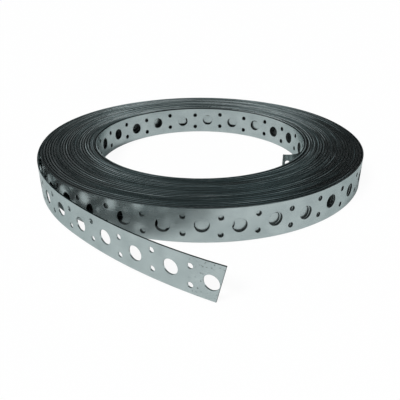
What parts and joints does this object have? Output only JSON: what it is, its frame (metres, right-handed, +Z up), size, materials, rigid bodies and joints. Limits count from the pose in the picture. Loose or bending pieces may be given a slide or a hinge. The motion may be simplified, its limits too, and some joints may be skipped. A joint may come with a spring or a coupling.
{
  "type": "roll of perforated metal strap",
  "caption": "Flat roll of galvanised perforated steel strap, wound in many turns around an open centre, with its outer end sprung free.",
  "frame": {"origin": "on the roll's axis, in the plane of the edges that it lies on", "axes": "+Z up along the roll's axis; +X to the right and -Y towards the viewer, with the free end on the -Y side"},
  "size_m": [0.2206, 0.2703, 0.02],
  "materials": {
    "galvanised_steel": "zinc-coated, satin, with dark cut edges"
  },
  "bodies": {
    "root": {"strap": "galvanised_steel"}
  },
  "joints": []
}
